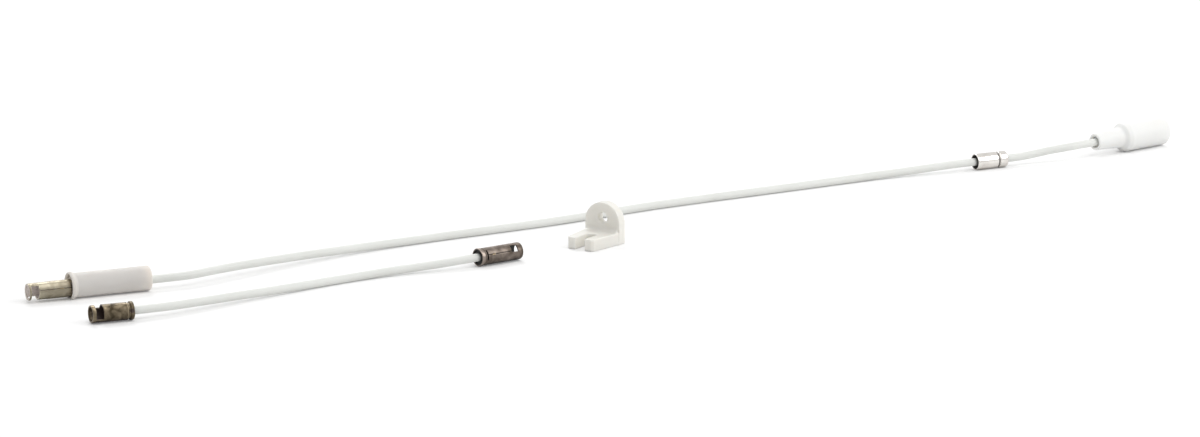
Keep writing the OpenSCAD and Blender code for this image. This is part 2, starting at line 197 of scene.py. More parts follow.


# rolled and turned metal; the third colour is a painted tone for light and shade, laid where the inside mark is set;
# a zone (from, to, shift) shifts the tarnish's cover along the piece, in mm, and a lower cover makes the metal
# cleaner and brighter there
def metalMaterial(name, clean, stain, dull, patch, cover, smooth, rough, bump=0.1, lines=(30.0, 900.0), zones=()):
    mat, tree, skin = newMaterial(name)
    coords = addNode(tree, "ShaderNodeTexCoord")
    along = addNode(tree, "ShaderNodeMapping", {"Vector": coords.outputs["UV"]}, {"Scale": (*lines, 1)})
    inside = addNode(tree, "ShaderNodeAttribute", attribute_name="inside")
    tarnishAndShade = addNode(tree, "ShaderNodeGroup", {
        "Vector": coords.outputs["Object"], "Lines": along.outputs[0], "Inside": inside.outputs["Fac"]},
        node_tree=tarnishAndShadeGroup)
    for key, colour in (("Clean", clean), ("Stain", stain), ("Painted Tone", dull)):
        tarnishAndShade.inputs[key].default_value = (*colour, 1)
    for key, value in (("Patch", patch), ("Cover", cover), ("Smooth", smooth), ("Rough", rough)):
        tarnishAndShade.inputs[key].default_value = value
    if zones:
        parts = addNode(tree, "ShaderNodeSeparateXYZ", {0: coords.outputs["UV"]})
        level = None
        for first, second, shift in zones:
            zone = addNode(tree, "ShaderNodeMapRange", {"Value": parts.outputs[1]},
                           {"From Min": first * mm, "From Max": second * mm, "To Max": shift})
            if level is None:
                level = addNode(tree, "ShaderNodeMath", {0: zone.outputs[0]}, {1: cover}, operation="ADD")
            else:
                level = addNode(tree, "ShaderNodeMath", {0: zone.outputs[0], 1: level.outputs[0]}, operation="ADD")
        tree.links.new(level.outputs[0], tarnishAndShade.inputs["Cover"])
    tree.links.new(tarnishAndShade.outputs["Color"], skin.inputs["Base Color"])
    tree.links.new(tarnishAndShade.outputs["Roughness"], skin.inputs["Roughness"])
    relief = addNode(tree, "ShaderNodeBump", {"Height": tarnishAndShade.outputs["Height"]},
                     {"Strength": bump, "Distance": 0.00005})
    tree.links.new(relief.outputs[0], skin.inputs["Normal"])
    tree.links.new(tarnishAndShade.outputs["Metal"], skin.inputs["Metallic"])
    return mat


finishes = {
    # the cable's dark last colour is painted shade for the jacket ends inside the metal
    "cable": paleMaterial(
        "whiteSiliconeCable", (0.77, 0.78, 0.75), (0.72, 0.73, 0.695), scale=45.0, grain=2600.0, bump=0.04,
        rough=(0.42, 0.55), lines=(20.0, 60.0), paintedShade=(0.02, 0.018, 0.015)),
    "sleeve": paleMaterial(
        "pinkishSleeve", (0.75, 0.705, 0.655), (0.705, 0.65, 0.60), scale=60.0, grain=1900.0, bump=0.12,
        rough=(0.5, 0.62), glow=0.75, depth=0.0035),
    "boot": paleMaterial(
        "whiteSiliconeBoot", (0.86, 0.86, 0.845), (0.82, 0.82, 0.80), scale=50.0, grain=2200.0, bump=0.08,
        rough=(0.45, 0.55), glow=0.4),
    "bracket": paleMaterial(
        "glossyWhiteBracket", (0.84, 0.825, 0.775), (0.795, 0.775, 0.72), scale=70.0, grain=900.0, bump=0.05,
        rough=(0.28, 0.4), coat=0.4, coatRough=0.12, glow=0.4),
    # each terminal's third colour is its painted tone: pale painted light inside the main terminal, dark painted
    # shade inside the others
    "mainTerminal": metalMaterial(
        "oliveNickelBrass", (0.44, 0.40, 0.305), (0.19, 0.16, 0.115), (0.78, 0.715, 0.675),
        patch=190.0, cover=0.48, smooth=0.34, rough=0.5, zones=((8.0, 11.0, -0.08), (2.0, -3.0, 0.06))),
    # its zones paint highlights: the lip and the crimp slope are made brighter as painted reflections of the light,
    # and from the flare back most of that brightening is taken off again
    "frontTerminal": metalMaterial(
        "darkBronze", (0.27, 0.22, 0.15), (0.05, 0.038, 0.023), (0.06, 0.04, 0.035),
        patch=230.0, cover=0.58, smooth=0.3, rough=0.5,
        zones=((11.2, 12.2, -0.2), (-3.4, -4.2, -0.42), (-4.4, -5.0, 0.28))),
    # its zones: the flare ring is made brighter as a painted highlight, and the metal darker towards the mouth
    "rearTerminal": metalMaterial(
        "dullNickel", (0.31, 0.26, 0.225), (0.10, 0.08, 0.065), (0.012, 0.01, 0.008),
        patch=200.0, cover=0.52, smooth=0.32, rough=0.48, zones=((-4.2, -4.8, -0.25), (11.0, 13.5, 0.12))),
    # the ferrule's dark third colour is painted shade in its bore and crimp groove
    "ferrule": metalMaterial(
        "brightNickel", (0.86, 0.83, 0.79), (0.68, 0.64, 0.60), (0.1, 0.09, 0.085),
        patch=160.0, cover=0.4, smooth=0.12, rough=0.22, bump=0.03),
    "contact": metalMaterial(
        "turnedBrass", (0.62, 0.47, 0.22), (0.33, 0.23, 0.10), (0.2, 0.14, 0.07),
        patch=380.0, cover=0.42, smooth=0.2, rough=0.4),
    "conductor": metalMaterial(
        "drawnCopper", (0.66, 0.36, 0.22), (0.30, 0.15, 0.09), (0.2, 0.1, 0.06),
        patch=420.0, cover=0.42, smooth=0.2, rough=0.4),
}
print("materials made:", len(finishes))


# 0 before a, 1 after b, and soft between them
def smoothStep(a, b, x):
    t = max(0.0, min(1.0, (x - a) / (b - a)))
    return t * t * (3 - 2 * t)


def buildObject(name, verts, faces, uvs, material, sharp=38.0):
    mesh = bpy.data.meshes.new(name)
    mesh.from_pydata([tuple(v) for v in verts], [], faces)
    layer = mesh.uv_layers.new(name="along")
    layer.data.foreach_set("uv", [c for face in uvs for uv in face for c in uv])
    mesh.polygons.foreach_set("use_smooth", [True] * len(mesh.polygons))
    bm = bmesh.new()
    bm.from_mesh(mesh)
    bmesh.ops.recalc_face_normals(bm, faces=bm.faces)
    bm.to_mesh(mesh)
    bm.free()
    mesh.set_sharp_from_angle(angle=math.radians(sharp))
    mesh.materials.append(material)
    obj = bpy.data.objects.new(name, mesh)
    scene.collection.objects.link(obj)
    return obj


def bakeModifiers(obj, sharp=38.0):
    bpy.context.view_layer.update()
    shaped = obj.evaluated_get(bpy.context.evaluated_depsgraph_get())
    mesh = bpy.data.meshes.new_from_object(shaped)
    obj.modifiers.clear()
    old = obj.data
    obj.data = mesh
    mesh.name = obj.name
    if old.users == 0:
        bpy.data.meshes.remove(old)
    mesh.polygons.foreach_set("use_smooth", [True] * len(mesh.polygons))
    mesh.set_sharp_from_angle(angle=math.radians(sharp))


def settle(obj, body, slotName, *nodes):
    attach(obj, body)
    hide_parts(*nodes)


# cables, all in metres; the ends are painted with shade as far as the metal covers them
cableSet = {
    "diameter": 0.004, "bore": 0.0015, "steps": 5, "sides": 28, "paintedShadeFrom": 0.0062, "paintedShadeTo": 0.0074,
    "strandRadius": 0.00023, "strandCount": 6, "layRadius": 0.00046, "turnsPerMetre": 45.0, "strandSharp": 50.0,
    "strip": 0.0015, "spliceStrip": 0.0016,
    "mainRoute": [
        (-0.314, 0.0199, 0.00505), (-0.298, 0.01798, 0.00505), (-0.282, 0.01606, 0.00505),
        (-0.266, 0.01414, 0.00505), (-0.25, 0.0128, 0.00515), (-0.236, 0.015, 0.00525),
        (-0.22, 0.0184, 0.00495), (-0.202, 0.0221, 0.00435), (-0.184, 0.0256, 0.0037),
        (-0.166, 0.0284, 0.0031), (-0.148, 0.0305, 0.0026), (-0.13, 0.0319, 0.00225),
        (-0.112, 0.0327, 0.00205), (-0.094, 0.033, 0.002), (-0.066, 0.0329, 0.002),
        (-0.038, 0.0329, 0.002), (-0.008, 0.0348, 0.002), (0.022, 0.0373, 0.002),
        (0.052, 0.0378, 0.002), (0.082, 0.0376, 0.002), (0.112, 0.0374, 0.002),
        (0.14, 0.0372, 0.0021), (0.162, 0.0368, 0.0023), (0.18, 0.0352, 0.00275),
        (0.194, 0.033, 0.0035), (0.206, 0.031, 0.0041), (0.2145, 0.03, 0.0042),
        (0.2225, 0.0294, 0.0042)],
    "tailRoute": [
        (0.2265, 0.0291, 0.0042), (0.2325, 0.02865, 0.0042), (0.2385, 0.0282, 0.00425),
        (0.245, 0.0273, 0.0046), (0.251, 0.0264, 0.0053), (0.257, 0.0251, 0.00615),
        (0.263, 0.0235, 0.00695), (0.268, 0.0222, 0.0075), (0.273, 0.02185, 0.0078),
        (0.285, 0.02365, 0.0078), (0.298, 0.0256, 0.0078), (0.3122, 0.02773, 0.0078)],
    "jumperRoute": [
        (-0.3111, -0.0326, 0.00445), (-0.3051, -0.0335, 0.00445), (-0.2991, -0.0344, 0.00445),
        (-0.286, -0.0347, 0.00425), (-0.272, -0.0331, 0.0039), (-0.258, -0.0309, 0.0035),
        (-0.243, -0.0286, 0.0031), (-0.229, -0.0266, 0.0027), (-0.215, -0.0246, 0.0024),
        (-0.2, -0.0224, 0.00215), (-0.186, -0.0207, 0.002), (-0.171, -0.0197, 0.0021),
        (-0.157, -0.0196, 0.0024), (-0.144, -0.0206, 0.0028), (-0.133, -0.0224, 0.0034),
        (-0.124, -0.024, 0.0041), (-0.116, -0.0243, 0.00445), (-0.1105, -0.02375, 0.00445),
        (-0.105, -0.0232, 0.00445)],
}


def smoothRoute(points, steps):
    p = [Vector(q) for q in points]
    last = len(p) - 1

    def tangent(i):
        return p[1] - p[0] if i == 0 else p[last] - p[last - 1] if i == last else (p[i + 1] - p[i - 1]) / 2
    line = []
    for i in range(last):
        for k in range(steps):
            t = k / steps
            line.append((2 * t ** 3 - 3 * t ** 2 + 1) * p[i] + (t ** 3 - 2 * t ** 2 + t) * tangent(i)
                        + (3 * t ** 2 - 2 * t ** 3) * p[i + 1] + (t ** 3 - t ** 2) * tangent(i + 1))
    line.append(p[last])
    return line


def lineLength(line):
    return sum((b - a).length for a, b in zip(line, line[1:]))


# hollow jacket swept along its line
def sweepJacket(name, line, s, material):
    outer, inner, sides = s["diameter"] / 2, s["bore"] / 2, s["sides"]
    n, last = len(line), len(line) - 1
    verts, along = [], [0.0]
    for a, b in zip(line, line[1:]):
        along.append(along[-1] + (b - a).length)
    for radius in (outer, inner):
        for i, p in enumerate(line):
            t = (line[min(i + 1, last)] - line[max(i - 1, 0)]).normalized()
            side = Vector((0, 0, 1)).cross(t).normalized()
            rise = t.cross(side)
            for k in range(sides):
                turn = 2 * math.pi * k / sides
                verts.append(p + radius * (math.cos(turn) * side + math.sin(turn) * rise))
    faces, uvs = [], []

    def quad(a, b, va, vb):
        for k in range(sides):
            m = (k + 1) % sides
            faces.append((a + k, b + k, b + m, a + m))
            uvs.append(((k / sides, va), (k / sides, vb), ((k + 1) / sides, vb), ((k + 1) / sides, va)))
    for i in range(last):
        quad(i * sides, (i + 1) * sides, along[i], along[i + 1])
        quad((n + i + 1) * sides, (n + i) * sides, along[i + 1], along[i])
    quad(n * sides, 0, 0.0, outer - inner)
    quad(last * sides, (n + last) * sides, along[-1], along[-1] + outer - inner)
    jacket = buildObject(name, verts, faces, uvs, material)
    # painted shade on the jacket ends, where they lie in the shadow inside the metal
    covered = jacket.data.attributes.new("covered", "FLOAT", "POINT")
    for ring in range(2 * n):
        fromEnd = min(along[ring % n], along[-1] - along[ring % n])
        for k in range(sides):
            covered.data[ring * sides + k].value = 1 - smoothStep(s["paintedShadeFrom"], s["paintedShadeTo"], fromEnd)
    return jacket


# stranded conductor: one straight strand and a ring of strands laid round it, following a curve
def makeStrandTree():
    tree = bpy.data.node_groups.new("strandedConductor", "GeometryNodeTree")
    gin, gout = groupSockets(tree, [
        ("Geometry", "NodeSocketGeometry", None), ("Strand Radius", "NodeSocketFloat", 0.0002),
        ("Strand Count", "NodeSocketInt", 6), ("Lay Radius", "NodeSocketFloat", 0.0004),
        ("Turns Per Metre", "NodeSocketFloat", 40.0), ("Finish", "NodeSocketMaterial", None)],
        [("Geometry", "NodeSocketGeometry")])
    strand = addNode(tree, "GeometryNodeCurvePrimitiveCircle", {"Radius": gin.outputs["Strand Radius"]},
                     {"Resolution": 10})
    ring = addNode(tree, "GeometryNodeMeshCircle", {
        "Vertices": gin.outputs["Strand Count"], "Radius": gin.outputs["Lay Radius"]})
    laid = addNode(tree, "GeometryNodeInstanceOnPoints", {
        "Points": ring.outputs[0], "Instance": strand.outputs[0]})
    profile = addNode(tree, "GeometryNodeJoinGeometry")
    tree.links.new(strand.outputs[0], profile.inputs[0])
    tree.links.new(laid.outputs[0], profile.inputs[0])
    section = addNode(tree, "GeometryNodeRealizeInstances", {"Geometry": profile.outputs[0]})
    where = addNode(tree, "GeometryNodeSplineParameter")
    turn = addNode(tree, "ShaderNodeMath", {0: where.outputs["Length"], 1: gin.outputs["Turns Per Metre"]},
                   operation="MULTIPLY")
    angle = addNode(tree, "ShaderNodeMath", {0: turn.outputs[0]}, {1: 2 * math.pi}, operation="MULTIPLY")
    laidCurve = addNode(tree, "GeometryNodeSetCurveTilt", {
        "Curve": gin.outputs["Geometry"], "Tilt": angle.outputs[0]})
    swept = addNode(tree, "GeometryNodeCurveToMesh", {
        "Curve": laidCurve.outputs[0], "Profile Curve": section.outputs[0]}, {"Fill Caps": True})
    real = addNode(tree, "GeometryNodeRealizeInstances", {"Geometry": swept.outputs[0]})
    finish = addNode(tree, "GeometryNodeSetMaterial", {
        "Geometry": real.outputs[0], "Material": gin.outputs["Finish"]})
    tree.links.new(finish.outputs[0], gout.inputs["Geometry"])
    return tree


strandTree = makeStrandTree()


# the conductor stands out of the line's ends by first and second
def layConductor(name, line, first, second, s, material):
    start = line[0] + (line[0] - line[1]).normalized() * first
    end = line[-1] + (line[-1] - line[-2]).normalized() * second
    points = [start, *line, end]
    data = bpy.data.curves.new(name, "CURVE")
    data.dimensions = "3D"
    spline = data.splines.new("POLY")
    spline.points.add(len(points) - 1)
    for point, p in zip(spline.points, points):
        point.co = (*p, 1)
    guide = bpy.data.objects.new(name + "Guide", data)
    scene.collection.objects.link(guide)
    nodes = guide.modifiers.new("strands", "NODES")
    nodes.node_group = strandTree
    sockets = {i.name: i.identifier for i in strandTree.interface.items_tree if i.in_out == "INPUT"}
    nodes[sockets["Strand Radius"]] = s["strandRadius"]
    nodes[sockets["Strand Count"]] = s["strandCount"]
    nodes[sockets["Lay Radius"]] = s["layRadius"]
    nodes[sockets["Turns Per Metre"]] = s["turnsPerMetre"]
    nodes[sockets["Finish"]] = material
    bpy.context.view_layer.update()
    mesh = bpy.data.meshes.new_from_object(guide.evaluated_get(bpy.context.evaluated_depsgraph_get()))
    bpy.data.objects.remove(guide)
    bpy.data.curves.remove(data)
    mesh.polygons.foreach_set("use_smooth", [True] * len(mesh.polygons))
    mesh.set_sharp_from_angle(angle=math.radians(s["strandSharp"]))
    obj = bpy.data.objects.new(name, mesh)
    scene.collection.objects.link(obj)
    return obj


def makeCables(s):
    for key, body, first, second in (
            ("main", "main_lead", s["strip"], s["spliceStrip"]), ("tail", "main_lead", s["spliceStrip"], s["strip"]),
            ("jumper", "jumper_lead", s["strip"], s["strip"])):
        line = smoothRoute(s[key + "Route"], s["steps"])
        jacket = sweepJacket(key + "CableJacket", line, s, finishes["cable"])
        core = layConductor(key + "CableCore", line, first, second, s, finishes["conductor"])
        settle(jacket, body, "silicone_cable", key + "_jacket")
        settle(core, body, "conductor", key + "_core")
        print("cable", key, round(lineLength(line), 4), "m")


makeCables(cableSet)


# place on a cut cable end, +X pointing on out of the cable
def endPlace(route, atStart=False):
    tip, inner = (route[0], route[1]) if atStart else (route[-1], route[-2])
    out = Vector(tip) - Vector(inner)
    return Matrix.Translation(Vector(tip)) @ Matrix.Rotation(math.atan2(out.y, out.x), 4, "Z")


mainPlace = endPlace(cableSet["mainRoute"], True)
splicePlace = endPlace(cableSet["mainRoute"])
bootPlace = endPlace(cableSet["tailRoute"])
frontPlace = endPlace(cableSet["jumperRoute"], True)
rearPlace = endPlace(cableSet["jumperRoute"])


# rounds the corners of an outline of (station, radius, fillet) points, all in mm
def filleted(outline, arcSteps=5):
    n, line, share = len(outline), [], 0.49  # no fillet takes more than this share of an edge
    for i, (x, r, f) in enumerate(outline):
        here = Vector((x, r))
        before = Vector(outline[i - 1][:2]) - here
        after = Vector(outline[(i + 1) % n][:2]) - here
        if f <= 0:
            line.append(here)
            continue
        u, v = before.normalized(), after.normalized()
        half = math.acos(max(-1, min(1, u.dot(v)))) / 2
        reach = min(f / math.tan(half), before.length * share, after.length * share)
        a, b = here + u * reach, here + v * reach
        for k in range(arcSteps + 1):
            t = k / arcSteps
            line.append((1 - t) ** 2 * a + 2 * t * (1 - t) * here + t ** 2 * b)
    return line


# turns a closed outline about the local X axis; drop lowers a ring by an amount that depends on its radius
def turnPiece(name, outline, place, material, segments, drop=None):
    n, verts, faces, uvs = len(outline), [], [], []
    along = [0.0]
    for i in range(n):
        along.append(along[-1] + (outline[(i + 1) % n] - outline[i]).length * mm)
    for p in outline:
        for k in range(segments):
            a = 2 * math.pi * k / segments
            low = drop(p.y) if drop else 0.0
            verts.append(place @ (Vector((p.x, -p.y * math.sin(a), p.y * math.cos(a) - low)) * mm))
    for i in range(n):
        j = (i + 1) % n
        for k in range(segments):
            m = (k + 1) % segments
            faces.append((i * segments + k, i * segments + m, j * segments + m, j * segments + k))
            ua, ub = k / segments, (k + 1) / segments
            uvs.append(((ua, along[i]), (ub, along[i]), (ub, along[i + 1]), (ua, along[i + 1])))
    return buildObject(name, verts, faces, uvs, material)


# terminals, rolled from sheet: a flat blank with its cut-outs, wrapped round the cable end, in mm and degrees
terminalSet = {
    "reach": 17.5, "roll": 0.0, "barrel": 4.2, "flare": 4.45, "groove": 3.7, "sheet": 0.7, "grip": 7.0,
    "flareLength": 1.7, "grooveWidth": 0.8, "slope": 0.4, "bend": 0.15, "lip": 0.9, "slot": 3.8, "slotFloor": -0.2,
    "seam": 0.3, "seamTurn": 56.0, "relief": 0.8, "reliefGap": 0.2, "reliefSpan": 5.0, "edge": 0.11, "edgeTurn": 50.0,
    # the front half and both rims are drawn in a little
    "neckIn": 0.0, "neckAt": 0.45, "neckRun": 1.0, "mouthIn": 0.12, "mouthRun": 0.5, "rimIn": 0.1, "rimRun": 0.35,
    # collar that closes on the jacket under the groove
    "collarBore": 2.1, "collarLead": 0.3, "collarInset": 0.25, "collarRound": 0.2, "collarSides": 48,
    # steps of the blank, and how near a loose line may come to a cut
    "crimpStep": 0.17, "crimpSteps": 26, "barrelStep": 0.6, "barrelSteps": 60, "mouthStep": 0.12, "mouthSteps": 4,
    "turnStep": 4, "clearX": 0.1, "clearTurn": 1.2,
    # marks, in the painted tone: painted shade on the inside, fading towards the lit mouth (painted light inside the
    # main terminal), painted shade on the underside where it lies on the table, painted shade in the punched dimple
    "paintedToneFrom": 0.2, "paintedToneRun": 0.3, "mouthLight": 0.8, "mouthLightFrom": -0.6, "mouthLightTo": 0.2,
    "underShade": 0.95, "underShadeFrom": 0.62, "underShadeTo": 0.88, "dent": None, "dentFrom": 0.3, "dentTo": 0.8,
}


def rollTerminal(name, place, material, s):
    reach, roll, dent = s["reach"], s["roll"], s["dent"]
    flareX = -s["grip"]
    crimpX = flareX + s["flareLength"]
    crimpEnd = crimpX + s["grooveWidth"]
    barrelX = crimpEnd + s["slope"]
    reliefX = barrelX + s["reliefGap"]
    reliefEnd = reliefX + s["relief"]
    neckX = reach * s["neckAt"]
    slotX, slotEnd = reach - s["lip"] - s["slot"], reach - s["lip"]

    def dimple(x, a):
        if not dent:
            return 0.0
        off = math.radians(a - dent["turn"]) * s["barrel"]
        return math.exp(-((x - dent["at"]) ** 2 + off ** 2) / dent["spread"] ** 2)

    def sheetRadius(x, a):
        r = s["flare"] + (s["groove"] - s["flare"]) * smoothStep(crimpX - s["slope"], crimpX + s["bend"], x)
        r += (s["barrel"] - s["groove"]) * smoothStep(crimpEnd - s["bend"], barrelX, x)
        r -= s["neckIn"] * smoothStep(neckX, neckX + s["neckRun"], x)
        r -= s["mouthIn"] * smoothStep(reach - s["mouthRun"], reach, x)
        r -= s["rimIn"] * (1 - smoothStep(flareX, flareX + s["rimRun"], x))
        return r - (dent["depth"] * dimple(x, a) if dent else 0.0)

    slotHalf = math.degrees(math.acos(s["slotFloor"] / (s["barrel"] - s["sheet"] / 2)))
    seamHalf = math.degrees(s["seam"] / 2 / s["barrel"])
    reliefHalf = math.degrees(math.asin(s["reliefSpan"] / 2 / s["barrel"]))
    fixedX = [flareX, reliefX, reliefEnd, slotX, slotEnd, reach]
    fixedA = [-slotHalf, slotHalf, s["seamTurn"] - seamHalf, s["seamTurn"] + seamHalf,
              s["seamTurn"] - reliefHalf, s["seamTurn"] + reliefHalf]
    looseX = [flareX + s["crimpStep"] * i for i in range(1, s["crimpSteps"] + 1)]
    looseX += [barrelX + s["barrelStep"] * i for i in range(s["barrelSteps"])]
    looseX += [reach - s["mouthStep"] * i for i in range(1, s["mouthSteps"] + 1)]
    stations = sorted(fixedX + [x for x in looseX if flareX < x < reach
                                and min(abs(x - f) for f in fixedX) > s["clearX"]])
    turns = sorted(fixedA + [a for a in range(-180, 180, s["turnStep"])
                             if min(abs(a - f) for f in fixedA) > s["clearTurn"]])

    def isCut(x, a):
        fromSeam = (a - s["seamTurn"] + 180) % 360 - 180
        return (slotX < x < slotEnd and abs(a) < slotHalf
                or reliefX < x < reliefEnd and abs(fromSeam) < reliefHalf
                or reliefX < x < slotEnd and abs(fromSeam) < seamHalf)

    count, verts, faces, uvs = len(turns), [], [], []
    for x in stations:
        for a in turns:
            t, r = math.radians(a + roll), sheetRadius(x, a)
            verts.append(place @ (Vector((x, -r * math.sin(t), r * math.cos(t))) * mm))
    for i in range(len(stations) - 1):
        for k in range(count):
            m = (k + 1) % count
            wide = turns[m] + (360 if m == 0 else 0)
            if isCut((stations[i] + stations[i + 1]) / 2, ((turns[k] + wide) / 2 + 180) % 360 - 180):
                continue
            faces.append((i * count + k, i * count + m, (i + 1) * count + m, (i + 1) * count + k))
            ua, ub, va, vb = turns[k] / 360, wide / 360, stations[i] * mm, stations[i + 1] * mm
            uvs.append(((ua, va), (ub, va), (ub, vb), (ua, vb)))
    shell = buildObject(name, verts, faces, uvs, material)
    lone = bmesh.new()
    lone.from_mesh(shell.data)
    bmesh.ops.delete(lone, geom=[v for v in lone.verts if not v.link_faces], context="VERTS")
    lone.to_mesh(shell.data)
    lone.free()
    wall = shell.modifiers.new("sheet", "SOLIDIFY")
    wall.thickness, wall.offset = s["sheet"] * mm, -1.0
    edge = shell.modifiers.new("edge", "BEVEL")
    edge.width, edge.segments = s["edge"] * mm, 2
    edge.limit_method, edge.angle_limit = "ANGLE", math.radians(s["edgeTurn"])
    bakeModifiers(shell)
    back = place.inverted()
    marks = []
    for v in shell.data.vertices:
        q = (back @ v.co) / mm
        # painted tone on the inner wall: painted shade on the bronze and nickel terminals, painted light on the main
        # one, fading towards the lit mouth
        below = sheetRadius(q.x, 0.0) - s["paintedToneFrom"] - math.hypot(q.y, q.z)
        dull = min(1.0, max(0.0, below / s["paintedToneRun"]))
        dull *= 1 - s["mouthLight"] * smoothStep(slotEnd + s["mouthLightFrom"], slotEnd + s["mouthLightTo"], q.x)
        # painted shade on the downward faces, where the terminal lies in its own contact shadow
        underShade = s["underShade"] * smoothStep(s["underShadeFrom"], s["underShadeTo"], -v.normal.z)
        turn = (math.degrees(math.atan2(-q.y, q.z)) - roll + 180) % 360 - 180
        # painted shade in the punched dimple, over its dent in the sheet
        marks.append(max(dull, underShade, smoothStep(s["dentFrom"], s["dentTo"], dimple(q.x, turn))))
    inner = s["groove"] - s["sheet"] + s["collarInset"]
    collar = turnPiece(name + "Collar", filleted([
        (crimpX - s["collarLead"], inner, 0), (crimpX, s["collarBore"], s["collarRound"]),
        (crimpEnd, s["collarBore"], s["collarRound"]), (crimpEnd + s["collarLead"], inner, 0)]),
        place, material, s["collarSides"])
    bm = bmesh.new()
    bm.from_mesh(shell.data)
    bm.from_mesh(collar.data)
    bm.to_mesh(shell.data)
    bm.free()
    bpy.data.objects.remove(collar)
    # the collar takes the painted tone in full, painted shade down in the rear opening
    inside = shell.data.attributes.new("inside", "FLOAT", "POINT")
    inside.data.foreach_set("value", marks + [1.0] * (len(shell.data.vertices) - len(marks)))
    return shell


# how each terminal differs; the main one has no flare, so that the sleeve slides over it
terminalKinds = {
    "main": {"roll": -130.0, "neckIn": 0.12, "flare": 4.2, "mouthLight": 0.0, "underShade": 0.0},
    "boot": {},
    "front": {"reach": 13.5, "roll": -32.0, "lip": 1.7,
              "dent": {"at": -5.8, "turn": -46.0, "depth": 0.7, "spread": 1.3}},
    "rear": {"roll": 51.0, "lip": 3.0, "slotFloor": 3.45, "seamTurn": 18.0, "mouthLight": 0.0},
}


def makeTerminals(s, kinds):
    for kind, name, place, finish, body, slotName, node in (
            ("main", "mainTerminal", mainPlace, "mainTerminal", "main_lead", "nickel_brass", "main_terminal"),
            ("boot", "bootTerminal", bootPlace, "mainTerminal", "main_lead", "nickel_brass", "boot_terminal"),
            ("front", "jumperFrontTerminal", frontPlace, "frontTerminal", "jumper_lead", "dark_bronze",
             "jumper_front_terminal"),
            ("rear", "jumperRearTerminal", rearPlace, "rearTerminal", "jumper_lead", "dull_nickel",
             "jumper_rear_terminal")):
        settle(rollTerminal(name, place, finishes[finish], dict(s, **kinds[kind])), body, slotName, node)
    for name in ("main_contact", "boot_contact", "jumper_front_contact", "jumper_rear_contact", "splice_contact"):
        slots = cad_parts[name].data.materials  # turned bushes keep their solids
        slots.clear()
        slots.append(finishes["contact"])


makeTerminals(terminalSet, terminalKinds)
print("terminals rolled")

# guard sleeve, its axis a little above the cable; towards its lip's bore it comes down to the cable
sleeveSet = {"radius": 5.95, "bell": 6.85, "bellLength": 3.2, "bellRun": 1.3, "noseRun": 0.3, "noseIn": 0.35,
             "mouthIn": 0.85, "bore": 5.2, "front": -3.0, "length": 40.6, "lip": 4.0, "lipBore": 2.25, "rise": 0.95,
             "dropFrom": 0.6, "dropRun": 1.5, "edge": 0.55, "funnelDepth": 1.3, "sides": 112}


def makeSleeve(s):
    front, bore = s["front"], s["bore"]
    back, bellStart = front - s["length"], front - s["bellLength"]
    outline = filleted([
        (back, s["lipBore"], 0.3), (back, s["radius"], s["edge"]), (bellStart, s["radius"], 0.8),
        (front - s["bellRun"], s["bell"], 0.7), (front - s["noseRun"], s["bell"] - s["noseIn"], 0.7),
        (front, s["bell"] - s["mouthIn"], 0.3), (front - s["funnelDepth"], bore, 0.5),
        (back + s["lip"], bore, 0.3), (back + s["lip"], s["lipBore"], 0.2)])
    place = mainPlace @ Matrix.Translation((0, 0, s["rise"] * mm))
    level = s["lipBore"] + s["dropFrom"]
    sleeve = turnPiece("guardSleeve", outline, place, finishes["sleeve"], s["sides"],
                       lambda r: s["rise"] * smoothStep(level + s["dropRun"], level, r))
    for v in sleeve.data.vertices:  # the bell lies flat on the table
        v.co.z = max(v.co.z, 0.0)
    settle(sleeve, "guard_sleeve", "sleeve_white", "guard_sleeve")


makeSleeve(sleeveSet)

# splice ferrule
ferruleSet = {"radius": 4.2, "bore": 3.6, "length": 18.0, "gap": 4.011, "grooveAt": 4.8, "grooveWidth": 0.9,
              "groove": 3.6, "slope": 0.25, "grip": 2.1, "endRound": 1.3, "wall": 0.6, "sides": 96,
              "paintedShadeFrom": -0.05, "paintedShadeTo": 0.25}


def makeFerrule(s):
    near = (s["gap"] - s["length"]) / 2
    far = near + s["length"]
    grooveFar = far - s["grooveAt"]
    grooveNear = grooveFar - s["grooveWidth"]
    outline = filleted([
        (near, s["bore"], 0.12), (near, s["radius"], 0.25), (grooveNear - s["slope"], s["radius"], 0.5),
        (grooveNear, s["groove"], 0.35), (grooveFar, s["groove"], 0.35), (grooveFar + s["slope"], s["radius"], 0.5),
        (far, s["radius"], s["endRound"]), (far, s["grip"], 0.2), (far - s["wall"], s["grip"], 0.15),
        (far - s["wall"] - s["slope"], s["bore"], 0.2), (grooveFar + s["slope"], s["bore"], 0.2),
        (grooveFar, s["grip"], 0.2), (grooveNear, s["grip"], 0.2), (grooveNear - s["slope"], s["bore"], 0.2)])
    ferrule = turnPiece("spliceFerrule", outline, splicePlace, finishes["ferrule"], s["sides"])
    back = splicePlace.inverted()
    inside = ferrule.data.attributes.new("inside", "FLOAT", "POINT")
    for v, mark in zip(ferrule.data.vertices, inside.data):  # painted shade in the bore and down in the groove
        q = (back @ v.co) / mm
        radius = math.hypot(q.y, q.z)
        mark.value = 1 - smoothStep(s["groove"] + s["paintedShadeFrom"], s["groove"] + s["paintedShadeTo"], radius)
    settle(ferrule, "main_lead", "bright_nickel", "splice_ferrule")


makeFerrule(ferruleSet)

# boot
bootSet = {"radius": 7.8, "neck": 4.3, "neckRoot": 5.3, "neckLength": 17.2, "shoulder": 4.2, "shoulderRun": 2.0,
           "shoulderIn": 0.7, "start": -25.9, "length": 48.0, "cavity": 4.7, "cavityAt": -7.3, "neckBore": 2.25,
           "funnel": 3.1, "funnelDepth": 3.0, "edge": 0.7, "arcSteps": 6, "sides": 112}


